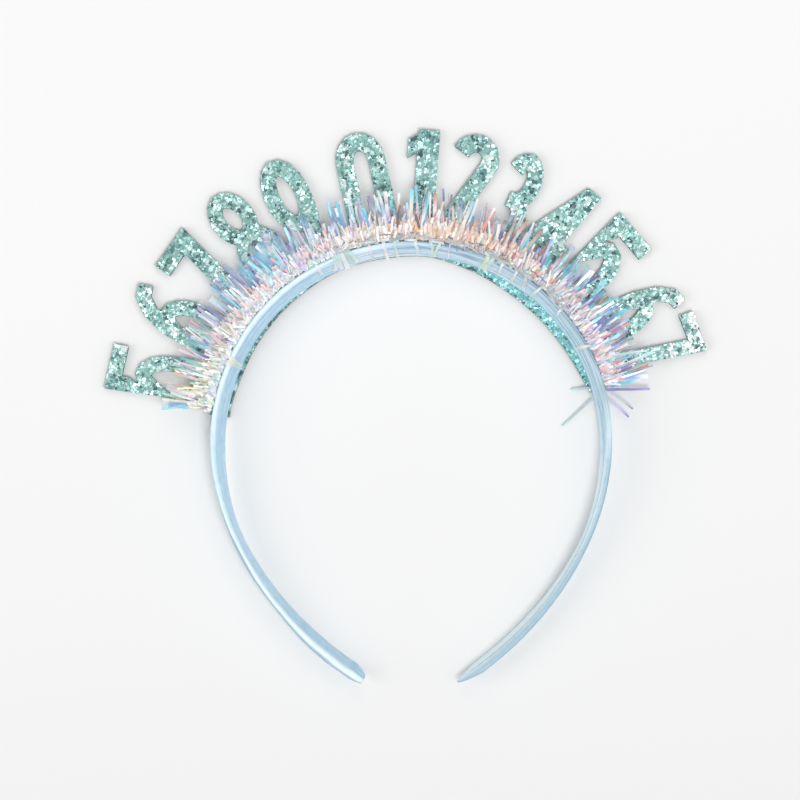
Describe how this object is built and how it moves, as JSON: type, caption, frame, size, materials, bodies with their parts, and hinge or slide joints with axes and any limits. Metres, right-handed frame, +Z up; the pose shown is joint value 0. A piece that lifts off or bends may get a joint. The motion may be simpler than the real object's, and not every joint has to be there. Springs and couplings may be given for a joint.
{
  "type": "birthday headband",
  "caption": "Ribbon-covered headband with a fan of die-cut glitter foam numerals and an iridescent film fringe along its outer face, lying on its rear edge.",
  "frame": {"origin": "middle of the bounding box, on the surface that the headband lies on", "axes": "+Z up, across the band's width from its rear edge to its front edge; +Y from the open ends to the crown; +X to the right as seen from above"},
  "size_m": [0.2056, 0.1884, 0.0155],
  "materials": {
    "satin_ribbon": "pale blue satin ribbon, wrapped and glued over a plastic strip",
    "glitter_foam": "mint foam sheet under coarse glitter, white and dark teal flakes among the mint",
    "iridescent_film": "thin clear film with pink, violet, cyan and pale yellow iridescence"
  },
  "bodies": {
    "root": {"band": "satin_ribbon", "glitter_foam": "glitter_foam", "tinsel_garland": "iridescent_film"}
  },
  "joints": []
}
